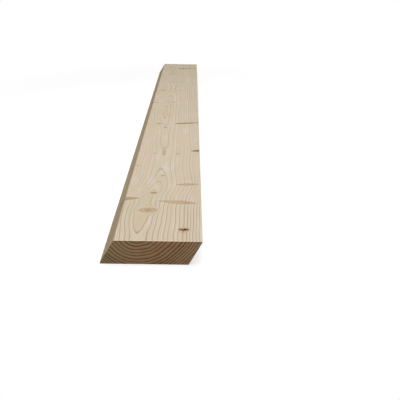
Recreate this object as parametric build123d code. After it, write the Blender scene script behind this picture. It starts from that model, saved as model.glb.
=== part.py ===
from build123d import *

import os
from math import radians, tan

# A planed softwood facing board with a rhombus section. It is one sawn and planed piece: two wide
# parallel faces, and two long edges that lean the same way, so that rain runs off each open joint.
# The board lies on its back face. Its length runs along Y, its width along X, and Z is up. The
# origin is on the floor under the middle of the board.

# Driving dimensions, in millimetres and degrees.
BOARD_LENGTH = 2000.0
BOARD_WIDTH = 120.0  # from the tip of one leaning edge to the tip of the other, before easing
BOARD_THICKNESS = 28.0
EDGE_ANGLE = 60.0  # between a wide face and a leaning edge, at the acute arris
ARRIS_RADIUS = 0.8  # the planer eases the four long arrises; the saw leaves the two ends sharp

NODE = "plank"

# How far the upper face is set over to the right of the lower one.
FACE_OFFSET = BOARD_THICKNESS / tan(radians(EDGE_ANGLE))
FACE_WIDTH = BOARD_WIDTH - FACE_OFFSET


def section_outline():
    """The rhombus section seen from the near end, centred on X and standing on Z = 0."""
    half_width = BOARD_WIDTH / 2
    back_left = (-half_width, 0)
    back_right = (-half_width + FACE_WIDTH, 0)
    face_right = (half_width, BOARD_THICKNESS)
    face_left = (half_width - FACE_WIDTH, BOARD_THICKNESS)
    return [back_left, back_right, face_right, face_left]


def plank():
    """The section run along the whole length, with its four long arrises eased."""
    near_end = Plane(
        origin=(0, -BOARD_LENGTH / 2, 0), x_dir=(1, 0, 0), z_dir=(0, -1, 0)
    )
    sharp_section = make_face(Polyline(section_outline(), close=True))
    eased_section = fillet(sharp_section.vertices(), ARRIS_RADIUS)
    return extrude(near_end * eased_section, amount=-BOARD_LENGTH)


os.makedirs("parts", exist_ok=True)
board = plank()
board.label = NODE
export_step(board, f"parts/{NODE}.step")
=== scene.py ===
import math
import random

import bpy
import numpy as np
from mathutils import Matrix, Vector
from mathutils.geometry import delaunay_2d_cdt


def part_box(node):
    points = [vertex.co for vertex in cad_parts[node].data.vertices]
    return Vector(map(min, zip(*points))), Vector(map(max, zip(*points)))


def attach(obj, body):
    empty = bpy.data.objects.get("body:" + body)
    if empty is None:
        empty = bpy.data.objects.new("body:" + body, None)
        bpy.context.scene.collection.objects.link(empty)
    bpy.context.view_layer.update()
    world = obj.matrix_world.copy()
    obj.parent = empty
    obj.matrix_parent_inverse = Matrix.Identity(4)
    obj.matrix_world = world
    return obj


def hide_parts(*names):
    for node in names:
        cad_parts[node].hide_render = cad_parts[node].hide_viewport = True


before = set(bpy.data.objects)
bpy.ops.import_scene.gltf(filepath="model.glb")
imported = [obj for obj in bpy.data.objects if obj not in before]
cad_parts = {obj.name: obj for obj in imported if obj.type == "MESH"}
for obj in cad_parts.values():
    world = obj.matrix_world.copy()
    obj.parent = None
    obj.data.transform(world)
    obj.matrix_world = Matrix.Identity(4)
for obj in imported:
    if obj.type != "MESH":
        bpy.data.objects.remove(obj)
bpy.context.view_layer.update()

# The plank is one length of planed softwood with a rhombus section. It is sawn from beside the heart
# of the log, planed on its two wide faces and its two leaning edges, eased along the four long
# arrises and cross-cut square at both ends.
MM = 0.001
EDGE_ANGLE = math.radians(60)
ARRIS_RADIUS = 0.8 * MM

lowest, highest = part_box("plank")
length = highest.y - lowest.y
thickness = highest.z - lowest.z
# Easing takes a little off each sharp tip, so the sharp section is wider than the planed one.
half_width = highest.x + ARRIS_RADIUS * (1 / math.tan(EDGE_ANGLE / 2) - 1)
face_offset = thickness / math.tan(EDGE_ANGLE)


def section_corners():
    """The four sharp corners, seen from the near end and going round against the clock."""
    back_left = Vector((-half_width, 0))
    back_right = Vector((half_width - face_offset, 0))
    face_right = Vector((half_width, thickness))
    face_left = Vector((face_offset - half_width, thickness))
    places = [back_left, back_right, face_right, face_left]
    corners = []
    for number, place in enumerate(places):
        to_next = (places[(number + 1) % 4] - place).normalized()
        to_last = (places[number - 1] - place).normalized()
        bisector = (to_next + to_last).normalized()
        corners.append({"place": place, "bisector": bisector, "angle": to_next.angle(to_last)})
    return corners


ARRIS_STEP = 0.18 * MM  # between the points on an arris
STEP_GROWTH = 1.5  # each step away from it is longer than the last by this factor


def stations(span, coarse):
    """Distances along one side of the section: fine steps by its two arrises, coarse ones between."""
    near_half = [0.0]
    pace = ARRIS_STEP
    while near_half[-1] + pace < span / 2:
        near_half.append(near_half[-1] + pace)
        pace = min(coarse, pace * STEP_GROWTH)
    return near_half + [span - place for place in reversed(near_half)]


def eased(place, corner, away, outward):
    """A point near a sharp corner, moved onto the rounded arris. Away runs from the corner to the point."""
    inward = corner["bisector"]
    reach = ARRIS_RADIUS / math.tan(corner["angle"] / 2)
    if away >= reach:
        return place
    centre = corner["place"] + inward * (ARRIS_RADIUS / math.sin(corner["angle"] / 2))
    turn = (math.pi - corner["angle"]) / 2
    share = away / reach
    tip_part = -inward * math.sin((1 - share) * turn)
    side_part = outward * math.sin(share * turn)
    return centre + (tip_part + side_part) * (ARRIS_RADIUS / math.sin(turn))


# How close the points are across each side, and how much of the flat map each side takes: the back
# face, the right edge, the weather face and the left edge.
SIDE_PITCHES = (3.6 * MM, 2.2 * MM, 1.25 * MM, 2.2 * MM)
SIDE_SHARES = (0.28, 0.11, 0.50, 0.11)


def section_outline():
    """The eased outline, and how far round the board each point is, as a share of the flat map."""
    corners = section_corners()
    outline = []
    shares = []
    for number, pitch in enumerate(SIDE_PITCHES):
        start = corners[number]
        end = corners[(number + 1) % 4]
        along = (end["place"] - start["place"]).normalized()
        outward = Vector((along.y, -along.x))
        span = (end["place"] - start["place"]).length
        for distance in stations(span, pitch)[:-1]:
            place = start["place"] + along * distance
            place = eased(place, start, distance, outward)
            outline.append(eased(place, end, span - distance, outward))
            shares.append(sum(SIDE_SHARES[:number]) + SIDE_SHARES[number] * distance / span)
    return outline, shares


NEAR_ROW_PITCH = 1.4 * MM
ROW_GROWTH = 0.0042  # the pitch grows by this share of the distance from the near end
CRACKED_KNOT = (40 * MM, 62 * MM)  # the stretch that holds the cracked knot, from the near end
CRACK_ROW_PITCH = 0.7 * MM
END_ROW_PITCH = 0.3 * MM  # a close row beside each sawn end keeps its edge crisp
LEAST_LAST_PITCH = 1.0 * MM


def row_places():
    """Distances from the near end: close rows where the board is looked at closely, then wider ones."""
    places = [0.0, END_ROW_PITCH]
    while places[-1] < length - LEAST_LAST_PITCH:
        in_crack = CRACKED_KNOT[0] < places[-1] < CRACKED_KNOT[1]
        pace = CRACK_ROW_PITCH if in_crack else NEAR_ROW_PITCH + ROW_GROWTH * places[-1]
        places.append(places[-1] + pace)
    places[-1] = length - END_ROW_PITCH
    return places + [length]


END_PITCH = 1.2 * MM
STAGGER = 0.25  # every other row is set over by this share of the pitch, and the rest the other way


def end_points():
    """Points spread over the sawn end, in staggered rows, all well inside its outline."""
    inside = []
    rows = int(thickness / END_PITCH)
    across = 2 * half_width - face_offset
    columns = int(across / END_PITCH)
    for row in range(1, rows):
        height = thickness * row / rows
        shift = height / math.tan(EDGE_ANGLE) - half_width
        stagger = STAGGER if row % 2 else -STAGGER
        for column in range(1, columns):
            inside.append(Vector((shift + across * (column + stagger) / columns, height)))
    return inside


# The flat map: the near and the far half of the board side by side, and the two sawn ends above.
MAP_MARGIN = 0.004
LONG_FACES_TOP = 0.89
ENDS_FOOT = 0.90

INSIDE_OUTLINE = 1  # the kind of net that fills an outline and goes no further
SAME_POINT = 1e-7
CRISP_FOLD = math.radians(40)  # steeper folds, which are those at the sawn ends, stay crisp


def half_map(half, share, up):
    """A place on the flat map, in the left half for the near part of the board and the right for the far."""
    return (0.5 * half + MAP_MARGIN + share * (0.5 - 2 * MAP_MARGIN), MAP_MARGIN + up)


def plank_mesh():
    """The closed skin of the board: rows of the outline along its length and a net over each end."""
    outline, shares = section_outline()
    rows = row_places()
    count = len(outline)
    points = [(p.x, lowest.y + row, lowest.z + p.y) for row in rows for p in outline]
    faces = []
    spots = []
    middle = next(number for number, row in enumerate(rows) if row >= length / 2)
    ends_of_halves = (rows[0], rows[middle], rows[-1])
    for row in range(len(rows) - 1):
        half = 0 if row < middle else 1
        foot, top = ends_of_halves[half:half + 2]
        ups = [(place - foot) / (top - foot) * (LONG_FACES_TOP - MAP_MARGIN) for place in rows[row:row + 2]]
        for step in range(count):
            ahead = (step + 1) % count
            share_ahead = shares[ahead] if ahead else 1.0
            near = row * count
            far = near + count
            faces.append((near + step, far + step, far + ahead, near + ahead))
            spots.append(half_map(half, shares[step], ups[0]))
            spots.append(half_map(half, shares[step], ups[1]))
            spots.append(half_map(half, share_ahead, ups[1]))
            spots.append(half_map(half, share_ahead, ups[0]))
    ring_edges = [(step, (step + 1) % count) for step in range(count)]
    flat, _, triangles, origins, _, _ = delaunay_2d_cdt(
        outline + end_points(), ring_edges, [list(range(count))], INSIDE_OUTLINE, SAME_POINT)
    for end, place in enumerate((lowest.y, highest.y)):
        numbers = []
        for point, came_from in zip(flat, origins):
            if came_from and came_from[0] < count:
                numbers.append(end * (len(rows) - 1) * count + came_from[0])
            else:
                numbers.append(len(points))
                points.append((point.x, place, lowest.z + point.y))
        for triangle in triangles:
            corners = triangle[::-1] if end else triangle
            faces.append([numbers[corner] for corner in corners])
            for corner in corners:
                share = (flat[corner].x + half_width) / (2 * half_width)
                up = ENDS_FOOT + flat[corner].y / thickness * (1 - ENDS_FOOT - 2 * MAP_MARGIN)
                spots.append(half_map(end, share, up))
    mesh = bpy.data.meshes.new("plank")
    mesh.from_pydata(points, [], faces)
    flat_map = mesh.uv_layers.new(name="OFBake")
    flat_map.uv.foreach_set("vector", np.array(spots, dtype=np.float32).ravel())
    mesh.shade_smooth()
    mesh.set_sharp_from_angle(angle=CRISP_FOLD)
    return mesh


plank = bpy.data.objects.new("timber_plank", plank_mesh())
bpy.context.scene.collection.objects.link(plank)


# Growth rings. The heart of the log runs just above the weather face and wanders along the board, so
# the planed face cuts the yearly cones into long tongues and arches, and the sawn ends show the same
# rings as wide bowls. All of it is one solid pattern, in millimetres from the near end.
def feed(tree, socket, value):
    """Plugs another node into a socket, or writes a plain value there."""
    if isinstance(value, bpy.types.NodeSocket):
        tree.links.new(value, socket)
    else:
        socket.default_value = value


def sums(tree, operation, *values):
    """One step of arithmetic on numbers."""
    node = tree.nodes.new("ShaderNodeMath")
    node.operation = operation
    for socket, value in zip(node.inputs, values):
        feed(tree, socket, value)
    return node.outputs["Value"]


def vector_sums(tree, operation, *values):
    """One step of arithmetic on places or directions."""
    node = tree.nodes.new("ShaderNodeVectorMath")
    node.operation = operation
    for socket, value in zip(node.inputs, values):
        feed(tree, socket, value)
    gives_number = operation in ("DOT_PRODUCT", "LENGTH", "DISTANCE")
    return node.outputs["Value" if gives_number else "Vector"]


def ease_between(tree, value, start, end, low=0.0, high=1.0):
    """Goes smoothly from low to high while the value goes from start to end."""
    node = tree.nodes.new("ShaderNodeMapRange")
    node.interpolation_type = "SMOOTHSTEP"
    for name, number in zip(("Value", "From Min", "From Max", "To Min", "To Max"),
                            (value, start, end, low, high)):
        feed(tree, node.inputs[name], number)
    return node.outputs["Result"]


def patches(tree, place, size, detail=2.0, roughness=0.5):
    """Soft random patches from about -0.5 to 0.5. Size is how far they reach along X, Y and Z."""
    node = tree.nodes.new("ShaderNodeTexNoise")
    feed(tree, node.inputs["Vector"], vector_sums(tree, "DIVIDE", place, size))
    node.inputs["Scale"].default_value = 1.0
    node.inputs["Detail"].default_value = detail
    node.inputs["Roughness"].default_value = roughness
    return sums(tree, "SUBTRACT", node.outputs[0], 0.5)


def parts_of(tree, vector):
    """The three numbers of a place or direction."""
    node = tree.nodes.new("ShaderNodeSeparateXYZ")
    feed(tree, node.inputs[0], vector)
    return node.outputs


def new_group(kind, name, takes, gives):
    """A node group with named sockets. Returns it with what goes in and what has to come out."""
    tree = bpy.data.node_groups.new(name, kind)
    for direction, sockets in (("INPUT", takes), ("OUTPUT", gives)):
        for label, sort in sockets.items():
            tree.interface.new_socket(label, in_out=direction, socket_type="NodeSocket" + sort)
    return tree, tree.nodes.new("NodeGroupInput").outputs, tree.nodes.new("NodeGroupOutput").inputs


def course(tree, along, points, low, high):
    """A value that changes along the board. Each point is (millimetres from the near end, value)."""
    node = tree.nodes.new("ShaderNodeFloatCurve")
    line = node.mapping.curves[0]
    shares = [(place * MM / length, (value - low) / (high - low)) for place, value in points]
    line.points[0].location = shares[0]
    line.points[1].location = shares[-1]
    for share in shares[1:-1]:
        line.points.new(*share)
    for point in line.points:
        point.handle_type = "AUTO_CLAMPED"
    node.mapping.update()
    feed(tree, node.inputs["Value"], sums(tree, "DIVIDE", along, length / MM))
    return sums(tree, "MULTIPLY_ADD", node.outputs["Value"], high - low, low)


# The heart's height over the weather face, and its place across the board.
HEART_HEIGHT = [
    (0, 7.3), (20, 7.25), (30, 7.0), (45, 6.2), (62, 4.9), (112, 2.4), (150, 2.0), (200, 3.2), (258, 7.0),
    (318, 10.7), (350, 12.6), (380, 13.4), (410, 14.1), (455, 14.5), (495, 14.5), (512, 14.1), (555, 14.1),
    (580, 13.8), (610, 12.8), (680, 12.8), (760, 12.0), (900, 6.5), (1000, 5.0), (1110, 8.5),
    (1280, 15.0), (1390, 17.4), (1500, 14.5), (1660, 7.2), (1750, 5.6), (1850, 8.4), (2000, 14.0),
]
HEIGHT_RANGE = (0.0, 20.0)  # holds every height
HEART_ACROSS = [
    (0, -17.0), (60, -18.2), (112, -19.0), (180, -17.0), (205, -15.0), (227, -12.5), (267, -5.0),
    (312, -2.0), (350, -1.0), (410, -2.5), (560, -1.5), (610, -3.5), (800, -6.0), (1000, -13.0),
    (1250, -6.0), (1450, -3.0), (1700, -13.0), (1850, -14.0), (2000, -9.0),
]
ACROSS_RANGE = (-20.0, 0.0)
FACE_HEIGHT = thickness / MM
CORE_RADIUS = 7.0  # inside this the years are wider
CORE_PITCH = 8.0  # from one year to the next, in millimetres
RING_PITCH = 3.75
OUTER_RADIUS = 38.0  # from here out the rings are narrower
OUTER_PITCH = 2.6
LEFT_STRETCH = 1.16  # how much further the rings spread across the board than down into it
RIGHT_STRETCH = 1.27
STRETCH_CHANGE = (-6, 6)  # where, across the heart, one goes over to the other
REACTION_SHIFT = 2.6  # towards the near end the first years are wider on the right-hand side
REACTION_ENDS = (100, 250)  # it is whole up to the first place and gone at the second
REACTION_START = (6, 13)  # how far right of the heart it sets in and is whole
OVALNESS = 1.4  # 2 would make the sides of the rings round, and less makes them slant more
OVAL_FROM = (0.85, 1.15)  # how far across, for each step down, the round rings go over to the oval
SLOW_WAVE = (30, 110, 30)  # how far the waves in the rings reach, and how far they move them
SLOW_WAVE_DEPTH = 1.4
QUICK_WAVE = (7, 24, 7)
QUICK_WAVE_DEPTH = 0.5
LEAST_DEPTH = 0.01  # nothing is nearer the heart than these
LEAST_RADIUS = 0.2


def growth_rings(tree, place, swelling):
    """The ring number at each place: whole numbers are the ends of a year, and swelling is how far
    a branch pushes the rings outward there."""
    slow_wave = patches(tree, place, SLOW_WAVE)
    quick_wave = patches(tree, place, QUICK_WAVE)
    place_x, place_y, place_z = parts_of(tree, place)
    heart_x = course(tree, place_y, HEART_ACROSS, *ACROSS_RANGE)
    heart_z = course(tree, place_y, HEART_HEIGHT, *HEIGHT_RANGE)
    across = sums(tree, "SUBTRACT", place_x, heart_x)
    reaction = ease_between(tree, place_y, *REACTION_ENDS, REACTION_SHIFT, 0.0)
    reaction = sums(tree, "MULTIPLY", reaction, ease_between(tree, across, *REACTION_START))
    across = sums(tree, "SUBTRACT", across, reaction)
    below = sums(tree, "SUBTRACT", sums(tree, "ADD", heart_z, FACE_HEIGHT), place_z)
    stretch = ease_between(tree, across, *STRETCH_CHANGE, LEFT_STRETCH, RIGHT_STRETCH)
    flat_across = sums(tree, "ABSOLUTE", sums(tree, "DIVIDE", across, stretch))
    below = sums(tree, "MAXIMUM", below, LEAST_DEPTH)
    round_radius = sums(tree, "SQRT", sums(tree, "MULTIPLY_ADD", flat_across, flat_across,
                                           sums(tree, "MULTIPLY", below, below)))
    oval_radius = sums(tree, "POWER", sums(tree, "ADD", sums(tree, "POWER", flat_across, OVALNESS),
                                           sums(tree, "POWER", below, OVALNESS)), 1 / OVALNESS)
    # The two shapes meet on the slanting lines where across and below are the same.
    oval_radius = sums(tree, "MULTIPLY", oval_radius, 2 ** (0.5 - 1 / OVALNESS))
    to_the_side = ease_between(tree, sums(tree, "DIVIDE", flat_across, below), *OVAL_FROM)
    radius = sums(tree, "SUBTRACT", oval_radius, round_radius)
    radius = sums(tree, "MULTIPLY_ADD", to_the_side, radius, round_radius)
    radius = sums(tree, "SUBTRACT", radius, swelling)
    radius = sums(tree, "MULTIPLY_ADD", slow_wave, SLOW_WAVE_DEPTH, radius)
    radius = sums(tree, "MULTIPLY_ADD", quick_wave, QUICK_WAVE_DEPTH, radius)
    radius = sums(tree, "MAXIMUM", radius, LEAST_RADIUS)
    past_core = sums(tree, "SUBTRACT", radius, CORE_RADIUS)
    years = sums(tree, "MAXIMUM", sums(tree, "DIVIDE", past_core, RING_PITCH),
                 sums(tree, "DIVIDE", past_core, CORE_PITCH))
    past_outer = sums(tree, "MAXIMUM", sums(tree, "SUBTRACT", radius, OUTER_RADIUS), 0.0)
    return sums(tree, "MULTIPLY_ADD", past_outer, 1 / OUTER_PITCH - 1 / RING_PITCH, years)


# Branch knots. Each is the foot of a branch, a cone that starts at the heart and grows outward, with
# the rings of the trunk swelling round it. Live ones are pale and grown in, spike knots are cut
# lengthwise, and a dead one has its own bark, dries out and cracks.
KNOT_MASKS = ("Knot", "Darkness", "Rim", "Stain", "Bark", "Crack")
CARRIED = {"Swelling": "Float", "Fibre place": "Vector", **dict.fromkeys(KNOT_MASKS, "Float")}

# Across a branch, distances are in its own radii.
LEAST_FLARE = 0.02
LIVE_EDGE = 0.22  # how soft the outline of a live knot is
DEAD_EDGE = 0.10
RIM = (0.66, 0.95, 1.0, 1.28)  # where the dark rim starts, is full, is still full and ends
KNOT_YEARS = 2.2  # in one radius
KNOT_LATE_WOOD = (0.4, 0.8, 0.9, 1.0)  # the same four places for the dark line in each of its years
KNOT_HEART = (0.34, 0.12)  # where its dark middle starts and is full
PALE_KNOT = 0.25  # knots with less depth of colour than this show their years
YEARS_DEPTH = 0.85
STAIN_SQUEEZE = (1.0, 0.36, 1.0)  # the stain runs out along the board
STAIN_SHIFT = (0, 1.4, 0)  # and its middle lies a little towards the near end
STAIN_FADE = (1.5, 0.3)
HOLLOW_SHAPE = (0.85, 0.62, 0.85)  # the heart of a dead knot dries out and leaves a hollow
HOLLOW_EDGE = (1.1, 0.75)
HOLLOW_RAGGEDNESS = 2.0
SPLIT_LENGTH = 2.4  # along the board, while across it the splits are one radius long
SPLIT_EDGE = (1.05, 0.8)
SPLIT_RAGGEDNESS = 1.2
SWELL_SHAPE = (1.0, 1.5, 1.0)  # the rings swell further along the board than across it
SWELL_FALL = -0.62  # the steepness of the bell in which the swelling falls off
SWELL_START = (-0.4, 0.8)  # along the branch, in shares of its flare
SWELL_END = (2.6, 1.0)  # it is gone at the first, and the bell is whole from the second inward
FIBRE_DRAW = (0.08, 0.08, 0.08)  # the knot's own fibres are long in the direction of the branch


def radii_out(tree, side, radius, shape=(1.0, 1.0, 1.0)):
    """How many radii a place lies from the middle of a branch. Shape widens it on each axis."""
    side = vector_sums(tree, "DIVIDE", side, shape)
    return sums(tree, "DIVIDE", vector_sums(tree, "LENGTH", side), radius)


def rise_and_fall(tree, value, start, full, still_full, end):
    """Goes smoothly from zero at the start to one, stays there, and is back at zero at the end."""
    rise = ease_between(tree, value, start, full)
    return sums(tree, "MULTIPLY", rise, ease_between(tree, value, end, still_full))


def shown_by_tone(tree, tone, gain, least, most):
    """How clearly a part of a knot shows, which depends on the knot's depth of colour."""
    return sums(tree, "MINIMUM", sums(tree, "MULTIPLY_ADD", tone, gain, least), most)


def ring_swelling(tree, side, full_radius, grown, push):
    """How far a branch pushes the rings outward: most at its middle, and nothing a little way off."""
    reach = radii_out(tree, side, full_radius, SWELL_SHAPE)
    fall = sums(tree, "MULTIPLY", sums(tree, "MULTIPLY", reach, reach), SWELL_FALL)
    fall = sums(tree, "MULTIPLY", sums(tree, "EXPONENT", fall), ease_between(tree, grown, *SWELL_START))
    fall = sums(tree, "MULTIPLY", fall, ease_between(tree, reach, *SWELL_END))
    return sums(tree, "MULTIPLY", fall, push)


def dead_knot_cracks(tree, side, radius, unevenness):
    """The hollow in the heart of a dead knot, and the four ragged splits that run out from it."""
    reach = radii_out(tree, side, radius, HOLLOW_SHAPE)
    reach = sums(tree, "MULTIPLY_ADD", unevenness, HOLLOW_RAGGEDNESS, reach)
    hollow = ease_between(tree, reach, *HOLLOW_EDGE)
    side_x, side_y, _ = parts_of(tree, vector_sums(tree, "ABSOLUTE", side))
    half_length = sums(tree, "MULTIPLY", radius, SPLIT_LENGTH)
    reach = sums(tree, "ADD", sums(tree, "SQRT", sums(tree, "DIVIDE", side_x, radius)),
                 sums(tree, "SQRT", sums(tree, "DIVIDE", side_y, half_length)))
    reach = sums(tree, "MULTIPLY_ADD", unevenness, SPLIT_RAGGEDNESS, reach)
    return sums(tree, "MAXIMUM", hollow, ease_between(tree, reach, *SPLIT_EDGE))


def branch_group(kind):
    """One branch, added to what the branches before it gave. Size holds its radius, the length in
    which it grows to that radius, and how far it pushes the rings. Look holds its depth of
    colour, how dead it is and how much resin it leaves in the wood."""
    takes = {"Place": "Vector", "Start": "Vector", "Direction": "Vector", "Size": "Vector",
             "Look": "Vector", "Unevenness": "Float"}
    takes.update({name + " so far": sort for name, sort in CARRIED.items()})
    tree, given, wanted = new_group(kind, "Branch knot", takes, CARRIED)
    full_radius, flare, push = parts_of(tree, given["Size"])
    tone, dead, resin = parts_of(tree, given["Look"])
    from_start = vector_sums(tree, "SUBTRACT", given["Place"], given["Start"])
    out = vector_sums(tree, "DOT_PRODUCT", from_start, given["Direction"])
    along = vector_sums(tree, "MULTIPLY", given["Direction"], out)
    side = vector_sums(tree, "SUBTRACT", from_start, along)
    grown = sums(tree, "DIVIDE", out, flare)
    flared = sums(tree, "MINIMUM", sums(tree, "MAXIMUM", grown, LEAST_FLARE), 1.0)
    radius = sums(tree, "MULTIPLY", full_radius, flared)
    unevenness = sums(tree, "DIVIDE", given["Unevenness"], full_radius)
    reach = sums(tree, "ADD", radii_out(tree, side, radius), unevenness)
    softness = sums(tree, "MULTIPLY_ADD", dead, DEAD_EDGE - LIVE_EDGE, LIVE_EDGE)
    inside = ease_between(tree, reach, sums(tree, "ADD", softness, 1.0),
                          sums(tree, "SUBTRACT", 1.0, softness))
    rim = rise_and_fall(tree, reach, *RIM)
    year = sums(tree, "FRACT", sums(tree, "MULTIPLY", reach, KNOT_YEARS))
    year_line = sums(tree, "MAXIMUM", rise_and_fall(tree, year, *KNOT_LATE_WOOD),
                     ease_between(tree, reach, *KNOT_HEART))
    stained_side = vector_sums(tree, "MULTIPLY_ADD", side, STAIN_SQUEEZE, STAIN_SHIFT)
    stain = ease_between(tree, radii_out(tree, stained_side, radius), *STAIN_FADE)
    body_depth = shown_by_tone(tree, tone, gain=2.5, least=0.25, most=1.0)
    rim_depth = shown_by_tone(tree, tone, gain=1.6, least=0.12, most=0.7)
    # A pale knot shows its own years, and a dark one hides them.
    line_depth = ease_between(tree, tone, PALE_KNOT, 0.0, 0.0, YEARS_DEPTH)
    line_depth = sums(tree, "MULTIPLY", inside, line_depth)
    masks = {
        "Knot": sums(tree, "MULTIPLY", inside, body_depth),
        "Darkness": sums(tree, "MULTIPLY", inside, tone),
        "Rim": sums(tree, "MAXIMUM", sums(tree, "MULTIPLY", rim, rim_depth),
                    sums(tree, "MULTIPLY", year_line, line_depth)),
        "Stain": sums(tree, "MULTIPLY", stain, sums(tree, "MAXIMUM", dead, resin)),
        "Bark": sums(tree, "MULTIPLY", rim, dead),
        "Crack": sums(tree, "MULTIPLY", dead_knot_cracks(tree, side, radius, unevenness), dead),
    }
    for name, mask in masks.items():
        feed(tree, wanted[name], sums(tree, "MAXIMUM", given[name + " so far"], mask))
    swelling = ring_swelling(tree, side, full_radius, grown, push)
    feed(tree, wanted["Swelling"], sums(tree, "ADD", given["Swelling so far"], swelling))
    drawn_out = vector_sums(tree, "MULTIPLY", along, FIBRE_DRAW)
    fibre_place = vector_sums(tree, "MULTIPLY", vector_sums(tree, "ADD", side, drawn_out), inside)
    feed(tree, wanted["Fibre place"], vector_sums(tree, "ADD", given["Fibre place so far"], fibre_place))
    return tree


def branch(start, towards, radius, flare, push, tone, dead=0.0, resin=0.0):
    """One branch in the board: where it starts, a point it runs towards, its radius once it has
    grown for the flare's length, how far it pushes the rings, its depth of colour, its bark and
    the resin round it."""
    direction = (Vector(towards) - Vector(start)).normalized()
    size = (radius, flare, push)
    return {"Start": start, "Direction": direction, "Size": size, "Look": (tone, dead, resin)}


# Three rows of branches run along the board. In each row they are far enough apart to keep clear.
left_row = [
    branch((-20, 206, 30.6), (-60, 199, 23.5), radius=11.0, flare=28, push=2.4, tone=0.32),
    branch((-29, 418, 30), (-60, 424, 25), radius=4.6, flare=16, push=1.2, tone=0.16),
    branch((-0.5, 492, 31.0), (-0.5, 552, 25.0), radius=2.6, flare=16, push=0.0, tone=0.14, resin=0.4),
]
middle_row = [
    branch((-15, 139, 40), (-7, 142, 20), radius=11.0, flare=8, push=6.5, tone=0.03, dead=0.08),
    branch((-8, 234, 35), (-5, 242, 10), radius=5.2, flare=9, push=3.0, tone=0.42),
    branch((2.5, 345, 38), (3.5, 352, 10), radius=2.9, flare=8, push=1.0, tone=0.36),
    branch((-14, 520, 44), (-16, 524, 10), radius=4.2, flare=12, push=1.0, tone=0.18),
]
right_row = [
    branch((28.5, 51, 37), (41.5, 51.5, 23), radius=4.6, flare=8, push=1.8, tone=0.60, dead=1.0),
    branch((-4, 192, 31.2), (54, 180, 16.6), radius=9.5, flare=32, push=0.9, tone=0.22),
    branch((20.5, 288, 30.6), (60.5, 295, 17.4), radius=7.5, flare=18, push=1.2, tone=0.24),
    branch((18, 519, 40), (28, 523, 10), radius=4.2, flare=12, push=1.0, tone=0.18),
    branch((40, 544, 33), (65, 550, 23), radius=7.0, flare=18, push=0.7, tone=0.7, dead=0.3),
]

# Further along the board a whorl of three branches leaves the heart every hand's breadth or two.
FIRST_WHORL = 800
LAST_WHORL = 1940
WHORL_GAPS = (150, 260)
WHORL_SPREAD = (-30, 30)  # how far along the board from the whorl a branch may start
LEANS = (0.05, 0.25)  # how far it leans away from the near end
# Seen from the near end, each row's branches run this many degrees clockwise of level to the right.
FALLS = ((left_row, 120, 165), (middle_row, 60, 120), (right_row, 15, 50))
chance = random.Random(11)
whorl = FIRST_WHORL
while whorl < LAST_WHORL:
    heart_x = np.interp(whorl, *zip(*HEART_ACROSS))
    heart_z = FACE_HEIGHT + np.interp(whorl, *zip(*HEART_HEIGHT))
    for row, least_fall, most_fall in FALLS:
        slope = math.radians(chance.uniform(least_fall, most_fall))
        lean = chance.uniform(*LEANS)
        start = (heart_x, whorl + chance.uniform(*WHORL_SPREAD), heart_z)
        towards = (start[0] + math.cos(slope), start[1] + lean, start[2] - math.sin(slope))
        row.append(branch(start, towards, radius=chance.uniform(4.0, 7.0),
                          flare=chance.uniform(18, 40), push=chance.uniform(1.2, 2.4),
                          tone=chance.uniform(0.1, 0.35), dead=chance.choice((0, 0, 0.5))))
    whorl += chance.uniform(*WHORL_GAPS)


# Where a Mix node has its first value, its second and the mixed one.
MIX_SOCKETS = {"VECTOR": (4, 5, 1), "RGBA": (6, 7, 2)}


def mixed(tree, sort, share, first, second, way="MIX"):
    """The first value, going over to the second by the share."""
    node = tree.nodes.new("ShaderNodeMix")
    node.data_type = sort
    node.blend_type = way
    first_socket, second_socket, result = MIX_SOCKETS[sort]
    feed(tree, node.inputs[0], share)
    feed(tree, node.inputs[first_socket], first)
    feed(tree, node.inputs[second_socket], second)
    return node.outputs[result]


def nearest_branch(tree, along, row):
    """The settings of the branch whose start is nearest along the board."""
    settings = row[0]
    for last, following in zip(row, row[1:]):
        halfway = (last["Start"][1] + following["Start"][1]) / 2
        past = sums(tree, "GREATER_THAN", along, halfway)
        settings = {name: mixed(tree, "VECTOR", past, settings[name], following[name])
                    for name in following}
    return settings


# How ragged the knots' outlines are, and how each year darkens towards its end.
RAGGEDNESS = 3.6
RAGGED_PATCHES = (3.0, 5.0, 3.0)
YEAR_WANDER = 0.55  # how unevenly wide the years are
LATE_START = 0.72  # the share of a year after which its wood darkens
CORE_DELAY = 0.14  # in the core it does so later
CORE_CHANGE = (0.1, -0.1)  # the core begins between these rings
NARROW_LEAD = 0.14  # and in the narrow outer years earlier
NARROW_FROM = (6.5, 9.5)  # the rings between which the years get narrow
LATE_FULL = 0.97
LATE_SHARPNESS = 1.5
YEAR_END = (1.0, 0.975)  # it stops short at the first, and is whole up to the second
KNOT_FIBRES = (1.6, 1.6, 1.6)  # the size of the lighter and darker spots in a knot
KNOT_FIBRE_DEPTH = 0.8


def year_noise(tree, ring, scale, detail):
    """A random value from about -0.5 to 0.5 that changes smoothly from ring to ring."""
    node = tree.nodes.new("ShaderNodeTexNoise")
    node.noise_dimensions = "1D"
    feed(tree, node.inputs["W"], ring)
    node.inputs["Scale"].default_value = scale
    node.inputs["Detail"].default_value = detail
    return sums(tree, "SUBTRACT", node.outputs[0], 0.5)


def late_wood(tree, ring):
    """The dark wood that ends each year: it comes on slowly and stops short."""
    season = sums(tree, "FRACT", ring)
    in_core = ease_between(tree, ring, *CORE_CHANGE)
    start = sums(tree, "MULTIPLY_ADD", in_core, CORE_DELAY, LATE_START)
    start = sums(tree, "MULTIPLY_ADD", ease_between(tree, ring, *NARROW_FROM), -NARROW_LEAD, start)
    darkening = sums(tree, "POWER", ease_between(tree, season, start, LATE_FULL), LATE_SHARPNESS)
    return sums(tree, "MULTIPLY", darkening, ease_between(tree, season, *YEAR_END))


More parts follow.
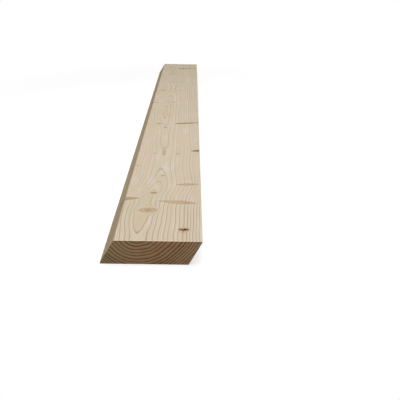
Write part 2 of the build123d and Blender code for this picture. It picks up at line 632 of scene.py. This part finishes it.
def timber_group(kind):
    """The whole board's solid pattern: the branches first, then the rings that they push aside."""
    gives = {"Ring": "Float", "Late wood": "Float", "Ring tone": "Float", "Place": "Vector"}
    gives.update(dict.fromkeys(KNOT_MASKS, "Float"))
    tree, given, wanted = new_group(kind, "Timber", {"Position": "Vector"}, gives)
    from_near_end = vector_sums(tree, "SUBTRACT", given["Position"], (0, lowest.y, lowest.z))
    place = vector_sums(tree, "DIVIDE", from_near_end, (MM, MM, MM))
    _, along, _ = parts_of(tree, place)
    unevenness = sums(tree, "MULTIPLY", patches(tree, place, RAGGED_PATCHES), RAGGEDNESS)
    knot_tree = branch_group(kind)
    so_far = None
    for row in (left_row, middle_row, right_row):
        knot = tree.nodes.new(kind.replace("Tree", "Group"))
        knot.node_tree = knot_tree
        feed(tree, knot.inputs["Place"], place)
        feed(tree, knot.inputs["Unevenness"], unevenness)
        for name, value in nearest_branch(tree, along, row).items():
            feed(tree, knot.inputs[name], value)
        if so_far:
            for name in CARRIED:
                feed(tree, knot.inputs[name + " so far"], so_far[name])
        so_far = knot.outputs
    even_ring = growth_rings(tree, place, so_far["Swelling"])
    wander = year_noise(tree, even_ring, scale=0.9, detail=1.0)
    ring = sums(tree, "MULTIPLY_ADD", wander, YEAR_WANDER, even_ring)
    year_chance = tree.nodes.new("ShaderNodeTexWhiteNoise")
    year_chance.noise_dimensions = "1D"
    feed(tree, year_chance.inputs["W"], sums(tree, "FLOOR", ring))
    knot_fibres = patches(tree, so_far["Fibre place"], KNOT_FIBRES, detail=3)
    pattern = {name: so_far[name] for name in KNOT_MASKS}
    pattern["Darkness"] = sums(tree, "MULTIPLY_ADD", knot_fibres, KNOT_FIBRE_DEPTH, so_far["Darkness"])
    pattern["Ring"] = ring
    pattern["Late wood"] = late_wood(tree, ring)
    pattern["Ring tone"] = year_chance.outputs["Value"]
    pattern["Place"] = place
    for name, value in pattern.items():
        feed(tree, wanted[name], value)
    return tree


# Relief. Dry spring wood sinks a little between the harder late wood, the dead knots open in cracks,
# the planer leaves the arrises a little uneven, and the saw leaves ridges on the two ends.
SUNK_SPRING_WOOD = 0.03
CRACK_DEPTH = 1.3
BARK_DEPTH = 0.25
NICK_DEPTH = 0.7
NICK_REACH = (2.4, 0.7)  # how far from the arris nicks start, and how near it they are full
NICK_PATCHES = (3, 9, 3)
NICK_EDGE = (0.05, 0.3)
SAW_RIDGE_PITCH = 5.2
SAW_RIDGE_DEPTH = 0.09
SAW_PATH = (0.36, 0, 0.93)  # the way in which the ridges follow one another over the end
SAW_WAVER = 1.6
SAW_WAVER_PATCHES = (2.5, 2.5, 2.5)


def arris_nearness(tree, place):
    """One on the four long arrises, going to zero a little way off. Place is in millimetres."""
    flat_place = vector_sums(tree, "MULTIPLY", place, (1, 0, 1))
    nearness = 0.0
    for corner in section_corners():
        arris = (corner["place"].x / MM, 0, corner["place"].y / MM)
        distance = vector_sums(tree, "DISTANCE", flat_place, arris)
        nearness = sums(tree, "MAXIMUM", nearness, ease_between(tree, distance, *NICK_REACH))
    return nearness


def relief_group():
    """Moves every point of the board inward by the depth of what is there."""
    takes = {"Geometry": "Geometry"}
    tree, given, wanted = new_group("GeometryNodeTree", "Timber relief", takes, takes)
    position = tree.nodes.new("GeometryNodeInputPosition").outputs["Position"]
    normal = tree.nodes.new("GeometryNodeInputNormal").outputs["Normal"]
    timber = tree.nodes.new("GeometryNodeGroup")
    timber.node_tree = timber_group("GeometryNodeTree")
    feed(tree, timber.inputs["Position"], position)
    timber = timber.outputs
    place = timber["Place"]
    sunk = sums(tree, "MULTIPLY", sums(tree, "SUBTRACT", 1.0, timber["Late wood"]), SUNK_SPRING_WOOD)
    sunk = sums(tree, "MULTIPLY", sunk, sums(tree, "SUBTRACT", 1.0, timber["Knot"]))
    cracks = sums(tree, "MULTIPLY", timber["Crack"], CRACK_DEPTH)
    bark = sums(tree, "MULTIPLY", timber["Bark"], BARK_DEPTH)
    depth = sums(tree, "ADD", sunk, sums(tree, "MAXIMUM", cracks, bark))
    nicks = ease_between(tree, patches(tree, place, NICK_PATCHES, detail=3), *NICK_EDGE)
    nicks = sums(tree, "MULTIPLY", arris_nearness(tree, place), nicks)
    depth = sums(tree, "MULTIPLY_ADD", nicks, NICK_DEPTH, depth)
    on_end = sums(tree, "ABSOLUTE", vector_sums(tree, "DOT_PRODUCT", normal, (0, 1, 0)))
    saw_path = vector_sums(tree, "DOT_PRODUCT", place, SAW_PATH)
    ridges = sums(tree, "SINE", sums(tree, "MULTIPLY", saw_path, 2 * math.pi / SAW_RIDGE_PITCH))
    ridges = sums(tree, "MULTIPLY_ADD", patches(tree, place, SAW_WAVER_PATCHES), SAW_WAVER, ridges)
    ridges = sums(tree, "MULTIPLY_ADD", ridges, SAW_RIDGE_DEPTH / 2, SAW_RIDGE_DEPTH)
    depth = sums(tree, "MULTIPLY_ADD", on_end, ridges, depth)
    depth = sums(tree, "MULTIPLY", sums(tree, "MAXIMUM", depth, 0.0), -MM)
    mover = tree.nodes.new("GeometryNodeSetPosition")
    feed(tree, mover.inputs["Geometry"], given["Geometry"])
    feed(tree, mover.inputs["Offset"], vector_sums(tree, "MULTIPLY", normal, depth))
    feed(tree, wanted["Geometry"], mover.outputs["Geometry"])
    return tree


relief = plank.modifiers.new("timber relief", "NODES")
relief.node_group = relief_group()
weathered = bpy.data.meshes.new_from_object(plank.evaluated_get(bpy.context.evaluated_depsgraph_get()))
plank.modifiers.clear()
plank.data = weathered


# Planed faces. The planer leaves the pale spring wood, the fine brown lines of late wood, the warm
# knots and a dry, faintly silky surface.
def colour(red, green, blue):
    """A colour as the screen shows it, from 0 to 255, in the light values that a shader takes."""
    shares = (channel / 255 for channel in (red, green, blue))
    return (*(((share + 0.055) / 1.055) ** 2.4 for share in shares), 1.0)


def blend_colours(tree, share, first, second):
    """The first colour, going over to the second by the share."""
    return mixed(tree, "RGBA", share, first, second)


def tinted(tree, first, tint):
    """A colour with another laid over it, as a wash of thin stain is."""
    return mixed(tree, "RGBA", 1.0, first, tint, "MULTIPLY")


STAIN_DEPTH = 0.6
BARK_CLEARNESS = 0.45


def knot_colour_group():
    """Lays a knot over the colour of the wood: the stained wood round it, its body, rim, bark and cracks."""
    colours = ("Wood", "Stained wood", "Pale knot", "Deep knot", "Knot rim", "Bark colour", "Crack colour")
    takes = {**dict.fromkeys(colours, "Color"), **dict.fromkeys(KNOT_MASKS, "Float")}
    tree, given, wanted = new_group("ShaderNodeTree", "Knot colours", takes, {"Colour": "Color"})
    stain = sums(tree, "MULTIPLY", given["Stain"], STAIN_DEPTH)
    wood = blend_colours(tree, stain, given["Wood"], given["Stained wood"])
    body = blend_colours(tree, given["Darkness"], given["Pale knot"], given["Deep knot"])
    wood = blend_colours(tree, given["Knot"], wood, body)
    wood = blend_colours(tree, given["Rim"], wood, given["Knot rim"])
    bark = sums(tree, "MULTIPLY", given["Bark"], BARK_CLEARNESS)
    wood = blend_colours(tree, bark, wood, given["Bark colour"])
    feed(tree, wanted["Colour"], blend_colours(tree, given["Crack"], wood, given["Crack colour"]))
    return tree


timber_tree = timber_group("ShaderNodeTree")
knot_colour_tree = knot_colour_group()


def timber_material(name):
    """A material that holds the timber pattern. Returns it with its tree, its pattern and its shader."""
    material = bpy.data.materials.new(name)
    material.use_nodes = True
    tree = material.node_tree
    where = tree.nodes.new("ShaderNodeTexCoord").outputs["Object"]
    timber = tree.nodes.new("ShaderNodeGroup")
    timber.node_tree = timber_tree
    feed(tree, timber.inputs["Position"], where)
    return material, tree, timber.outputs, tree.nodes["Principled BSDF"]


def with_knots(tree, timber, colours):
    """The colour of the wood with its knots laid over it."""
    knots = tree.nodes.new("ShaderNodeGroup")
    knots.node_tree = knot_colour_tree
    for name, value in colours.items():
        feed(tree, knots.inputs[name], value)
    for name in KNOT_MASKS:
        feed(tree, knots.inputs[name], timber[name])
    return knots.outputs["Colour"]


def raise_grain(tree, shader, height, depth, strength):
    """Lets grain that is too fine for the mesh catch the light."""
    bump = tree.nodes.new("ShaderNodeBump")
    bump.inputs["Distance"].default_value = depth
    bump.inputs["Strength"].default_value = strength
    feed(tree, bump.inputs["Height"], height)
    feed(tree, shader.inputs["Normal"], bump.outputs["Normal"])


planed, tree, timber, shader = timber_material("planed softwood")
place = timber["Place"]
SPRING_WOOD = colour(206, 193, 171)
ROSY_WOOD = colour(209, 190, 168)
STRAW_WOOD = colour(202, 190, 164)
WARM_DEPTH = 0.6  # how far the rosy and the straw-coloured patches cover the spring wood
PALE_WOOD = colour(211, 201, 185)
PALE_DEPTH = 0.7
HEART_WOOD = colour(200, 184, 153)
HEART_DEPTH = 0.5
LATE_WOOD = colour(134, 110, 80)
BAND_STRAW = (0.985, 0.975, 0.93, 1.0)  # within a year the wood goes from straw to a cool grey
BAND_GREY = (1.0, 1.01, 1.045, 1.0)
CUT_FIBRES_AND_HIGHLIGHT = colour(224, 209, 184)  # pale broken fibres where the saw cut the planed faces, and a painted highlight along the cut arris
CUT_FIBRES_AND_HIGHLIGHT_REACH = (5.0, 1.0)  # how far from the end they start, and how near it they are full
CUT_FIBRES_AND_HIGHLIGHT_DEPTH = 0.45
PAINTED_EDGE_SHADE = (0.92, 0.85, 0.72, 1.0)  # painted shade: the two leaning edges are painted darker and browner, as shaded faces lit by warm bounce light look
EDGE_SLANT = (0.95, 0.6)  # how steep a face has to be to count as an edge
# How clearly the late wood shows along the board, from the near end.
CLEARNESS = [
    (0, 0.95), (140, 0.88), (220, 0.62), (300, 0.53), (430, 0.42), (700, 0.34), (1000, 0.6), (1400, 0.5),
    (2000, 0.9),
]
YEAR_CLEARNESS = (0.54, 0.77)  # of the faintest year and of the strongest
# How far the patches and the grain of the wood reach across, along and down.
WARM_PATCHES = (18, 160, 18)
PALE_PATCHES = (13, 90, 13)
STREAKS = (0.9, 70, 0.9)
FIBRES = (0.35, 14, 0.35)
EITHER_WAY = (-0.16, 0.16)  # the part of a random pattern over which one colour goes over to another
warmth = ease_between(tree, patches(tree, place, WARM_PATCHES), *EITHER_WAY)
warm_wood = blend_colours(tree, warmth, ROSY_WOOD, STRAW_WOOD)
spring = blend_colours(tree, WARM_DEPTH, SPRING_WOOD, warm_wood)
paleness = ease_between(tree, patches(tree, place, PALE_PATCHES), 0.0, 0.25, 0.0, PALE_DEPTH)
spring = blend_colours(tree, paleness, spring, PALE_WOOD)
core = ease_between(tree, timber["Ring"], 0.15, -0.2, 0.0, HEART_DEPTH)
spring = blend_colours(tree, core, spring, HEART_WOOD)
_, along, _ = parts_of(tree, place)
clearness = ease_between(tree, timber["Ring tone"], 0, 1, *YEAR_CLEARNESS)
clearness = sums(tree, "MULTIPLY", clearness, course(tree, along, CLEARNESS, 0.0, 1.0))
lines = sums(tree, "MULTIPLY", timber["Late wood"], clearness)
wood = blend_colours(tree, lines, spring, LATE_WOOD)
bands = year_noise(tree, timber["Ring"], scale=4.3, detail=2.0)
streaks = patches(tree, place, STREAKS, detail=4, roughness=0.6)
fibres = patches(tree, place, FIBRES, detail=2)
shade = sums(tree, "MULTIPLY_ADD", timber["Ring tone"], 0.03, 0.985)
for grain, contrast in ((bands, 0.28), (streaks, 0.12), (fibres, 0.08)):
    shade = sums(tree, "MULTIPLY_ADD", grain, contrast, shade)
wood = tinted(tree, wood, shade)
band_tint = blend_colours(tree, ease_between(tree, bands, *EITHER_WAY), BAND_STRAW, BAND_GREY)
wood = tinted(tree, wood, band_tint)
# Near each sawn end the planed faces are painted paler: partly the fibres that the saw broke, partly a
# painted highlight along the arris.
from_end = sums(tree, "MINIMUM", along, sums(tree, "SUBTRACT", length / MM, along))
cut = ease_between(tree, from_end, *CUT_FIBRES_AND_HIGHLIGHT_REACH, 0.0, CUT_FIBRES_AND_HIGHLIGHT_DEPTH)
wood = blend_colours(tree, cut, wood, CUT_FIBRES_AND_HIGHLIGHT)
# Painted shade: the steep faces, which are the two leaning edges, are painted darker and browner.
_, _, facing_up = parts_of(tree, tree.nodes.new("ShaderNodeNewGeometry").outputs["True Normal"])
on_edge = ease_between(tree, sums(tree, "ABSOLUTE", facing_up), *EDGE_SLANT)
wood = blend_colours(tree, on_edge, wood, tinted(tree, wood, PAINTED_EDGE_SHADE))
wood = with_knots(tree, timber, {
    "Wood": wood,
    "Stained wood": colour(184, 146, 106),
    "Pale knot": colour(200, 175, 139),
    "Deep knot": colour(104, 66, 34),
    "Knot rim": colour(168, 132, 92),
    "Bark colour": colour(96, 62, 36),
    "Crack colour": colour(66, 38, 14),
})
feed(tree, shader.inputs["Base Color"], wood)
SPRING_DRYNESS = 0.82
LATE_DRYNESS = 0.72
dryness = ease_between(tree, timber["Late wood"], 0, 1, SPRING_DRYNESS, LATE_DRYNESS)
feed(tree, shader.inputs["Roughness"], sums(tree, "MAXIMUM", dryness, timber["Crack"]))
shader.inputs["Specular IOR Level"].default_value = 0.1
fine_grain = sums(tree, "ADD", sums(tree, "ADD", fibres, streaks), timber["Late wood"])
raise_grain(tree, shader, fine_grain, depth=0.06 * MM, strength=0.5)


# Sawn ends. Across the grain the wood drinks in dirt and light, so it is much browner, redder in the
# middle and more olive outward, with the late wood as strong dark bows under the fuzz of the saw.
sawn, tree, timber, shader = timber_material("sawn end grain")
place = timber["Place"]
END_SPRING = colour(195, 158, 119)
END_OLIVE = colour(187, 161, 122)
END_RED = colour(192, 148, 110)
END_LATE = colour(82, 51, 26)
REDDEST = 8.0  # how far right of the board's middle the end is reddest
MIDDLE_REDNESS = 0.16
REDNESS_FALL = -0.006  # for each millimetre from there
TINT_RANGE = 0.2  # of redness, and as much of olive below it
TINT_PATCHES = (12, 16, 8)
SUMMER = (0.35, 0.88)  # the part of a year over which the wood slowly darkens
SUMMER_DEPTH = 0.42
SPECKS = (0.8, 4, 0.8)
SPECK_CONTRAST = 0.5
across, _, _ = parts_of(tree, place)
from_reddest = sums(tree, "ABSOLUTE", sums(tree, "SUBTRACT", across, REDDEST))
redness = sums(tree, "MULTIPLY_ADD", from_reddest, REDNESS_FALL, MIDDLE_REDNESS)
redness = sums(tree, "ADD", redness, patches(tree, place, TINT_PATCHES))
spring = blend_colours(tree, ease_between(tree, redness, 0.0, TINT_RANGE), END_SPRING, END_RED)
spring = blend_colours(tree, ease_between(tree, redness, 0.0, -TINT_RANGE), spring, END_OLIVE)
summer = ease_between(tree, sums(tree, "FRACT", timber["Ring"]), *SUMMER, 0.0, SUMMER_DEPTH)
wood = blend_colours(tree, summer, spring, END_LATE)
wood = blend_colours(tree, timber["Late wood"], wood, END_LATE)
specks = patches(tree, place, SPECKS, detail=4, roughness=0.7)
wood = tinted(tree, wood, sums(tree, "MULTIPLY_ADD", specks, SPECK_CONTRAST, 1.0))
wood = with_knots(tree, timber, {
    "Wood": wood,
    "Stained wood": colour(150, 110, 76),
    "Pale knot": colour(150, 112, 80),
    "Deep knot": colour(66, 42, 28),
    "Knot rim": colour(96, 66, 44),
    "Bark colour": colour(60, 40, 26),
    "Crack colour": colour(40, 26, 16),
})
feed(tree, shader.inputs["Base Color"], wood)
shader.inputs["Roughness"].default_value = 0.9
shader.inputs["Specular IOR Level"].default_value = 0.2
raise_grain(tree, shader, specks, depth=0.3 * MM, strength=0.6)

FACES_OUT = 0.9  # how far along the board a face of a sawn end looks, at least
plank.data.materials.append(planed)
plank.data.materials.append(sawn)
for face in plank.data.polygons:
    if abs(face.normal.y) > FACES_OUT:
        face.material_index = 1

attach(plank, "root")
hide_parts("plank")


# The stage. The board lies on a wide pale floor that keeps its shadow, in a white surround, under one
# softbox. The camera looks along it from behind its near end.
FLOOR_HALF = 9.0
FLOOR_DROP = 0.1 * MM  # keeps the floor clear of the board's back face
floor_mesh = bpy.data.meshes.new("floor")
floor_mesh.from_pydata(
    [(-FLOOR_HALF, -FLOOR_HALF, 0), (FLOOR_HALF, -FLOOR_HALF, 0), (FLOOR_HALF, FLOOR_HALF, 0),
     (-FLOOR_HALF, FLOOR_HALF, 0)], [], [(0, 1, 2, 3)])
floor = bpy.data.objects.new("floor", floor_mesh)
floor.location.z = -FLOOR_DROP
bpy.context.scene.collection.objects.link(floor)


def seen_directly(tree):
    """One where the camera, a mirror or clear glass looks, and zero where only light is gathered."""
    light_path = tree.nodes.new("ShaderNodeLightPath")
    seen = sums(tree, "MAXIMUM", light_path.outputs["Is Camera Ray"], light_path.outputs["Is Glossy Ray"])
    return sums(tree, "MAXIMUM", seen, light_path.outputs["Is Transmission Ray"])


# Close to the board the floor is lit and takes its shadow. Further off it goes over to plain white.
WHITE = (1.0, 1.0, 1.0, 1.0)
BLACK = (0.0, 0.0, 0.0, 1.0)
FLOOR_WHITE = (0.86, 0.86, 0.86, 1.0)
FLOOR_BOUNCE = (0.30, 0.29, 0.27, 1.0)  # what the board's faces gather from it
FLOOR_GLOW = 0.28
FLOOR_OVAL = (1.0, 2.0, 1.0)
GOES_WHITE = (0.25, 0.7)  # how far out in that oval it starts to go white, and is plain white
floor_paint = bpy.data.materials.new("pale floor")
floor_paint.use_nodes = True
tree = floor_paint.node_tree
shader = tree.nodes["Principled BSDF"]
seen = seen_directly(tree)
floor_place = tree.nodes.new("ShaderNodeTexCoord").outputs["Object"]
beyond = vector_sums(tree, "LENGTH", vector_sums(tree, "DIVIDE", floor_place, FLOOR_OVAL))
plain_white = ease_between(tree, beyond, *GOES_WHITE)
paint = blend_colours(tree, seen, FLOOR_BOUNCE, FLOOR_WHITE)
own_white = sums(tree, "MULTIPLY", seen, plain_white)
feed(tree, shader.inputs["Base Color"], blend_colours(tree, own_white, paint, BLACK))
shader.inputs["Roughness"].default_value = 1.0
shader.inputs["Specular IOR Level"].default_value = 0.0
shader.inputs["Emission Color"].default_value = WHITE
glow = sums(tree, "MULTIPLY_ADD", plain_white, 1.0 - FLOOR_GLOW, FLOOR_GLOW)
feed(tree, shader.inputs["Emission Strength"], sums(tree, "MULTIPLY", seen, glow))
floor_mesh.materials.append(floor_paint)

SURROUND_LIGHT = (0.2, 0.2, 0.205, 1.0)
world = bpy.data.worlds.new("white surround")
world.use_nodes = True
bpy.context.scene.world = world
tree = world.node_tree
feed(tree, tree.nodes["Background"].inputs["Color"],
     blend_colours(tree, seen_directly(tree), SURROUND_LIGHT, WHITE))

# One softbox hangs level over the near half of the board, a little to the right.
SOFTBOX_WIDTH = 1.8
SOFTBOX_LENGTH = 4.4
SOFTBOX_WATTS = 87.0
SOFTBOX_PLACE = (0.5, -0.9, 2.6)
softbox = bpy.data.lights.new("softbox", "AREA")
softbox.shape = "RECTANGLE"
softbox.size = SOFTBOX_WIDTH
softbox.size_y = SOFTBOX_LENGTH
softbox.energy = SOFTBOX_WATTS
hung_softbox = bpy.data.objects.new("softbox", softbox)
hung_softbox.location = SOFTBOX_PLACE
bpy.context.scene.collection.objects.link(hung_softbox)

# The camera stands low and looks a little down at the board.
CAMERA_PLACE = (0.0441, -2.0396, 0.3369)
CAMERA_PITCH = math.radians(14.0)
CAMERA_YAW = math.radians(0.63)
CAMERA_ROLL = math.radians(-1.02)
FOCAL_PIXELS = 940.7
FRAME_PIXELS = 400
lens = bpy.data.cameras.new("camera")
lens.sensor_width = 36.0
lens.lens = lens.sensor_width * FOCAL_PIXELS / FRAME_PIXELS
lens.clip_start = 0.05
lens.clip_end = 60.0
camera = bpy.data.objects.new("camera", lens)
aim = (Matrix.Rotation(-CAMERA_YAW, 4, "Z") @ Matrix.Rotation(math.pi / 2 - CAMERA_PITCH, 4, "X")
       @ Matrix.Rotation(-CAMERA_ROLL, 4, "Z"))
camera.matrix_world = Matrix.Translation(CAMERA_PLACE) @ aim
bpy.context.scene.collection.objects.link(camera)
bpy.context.scene.camera = camera
bpy.context.scene.view_settings.view_transform = "Standard"
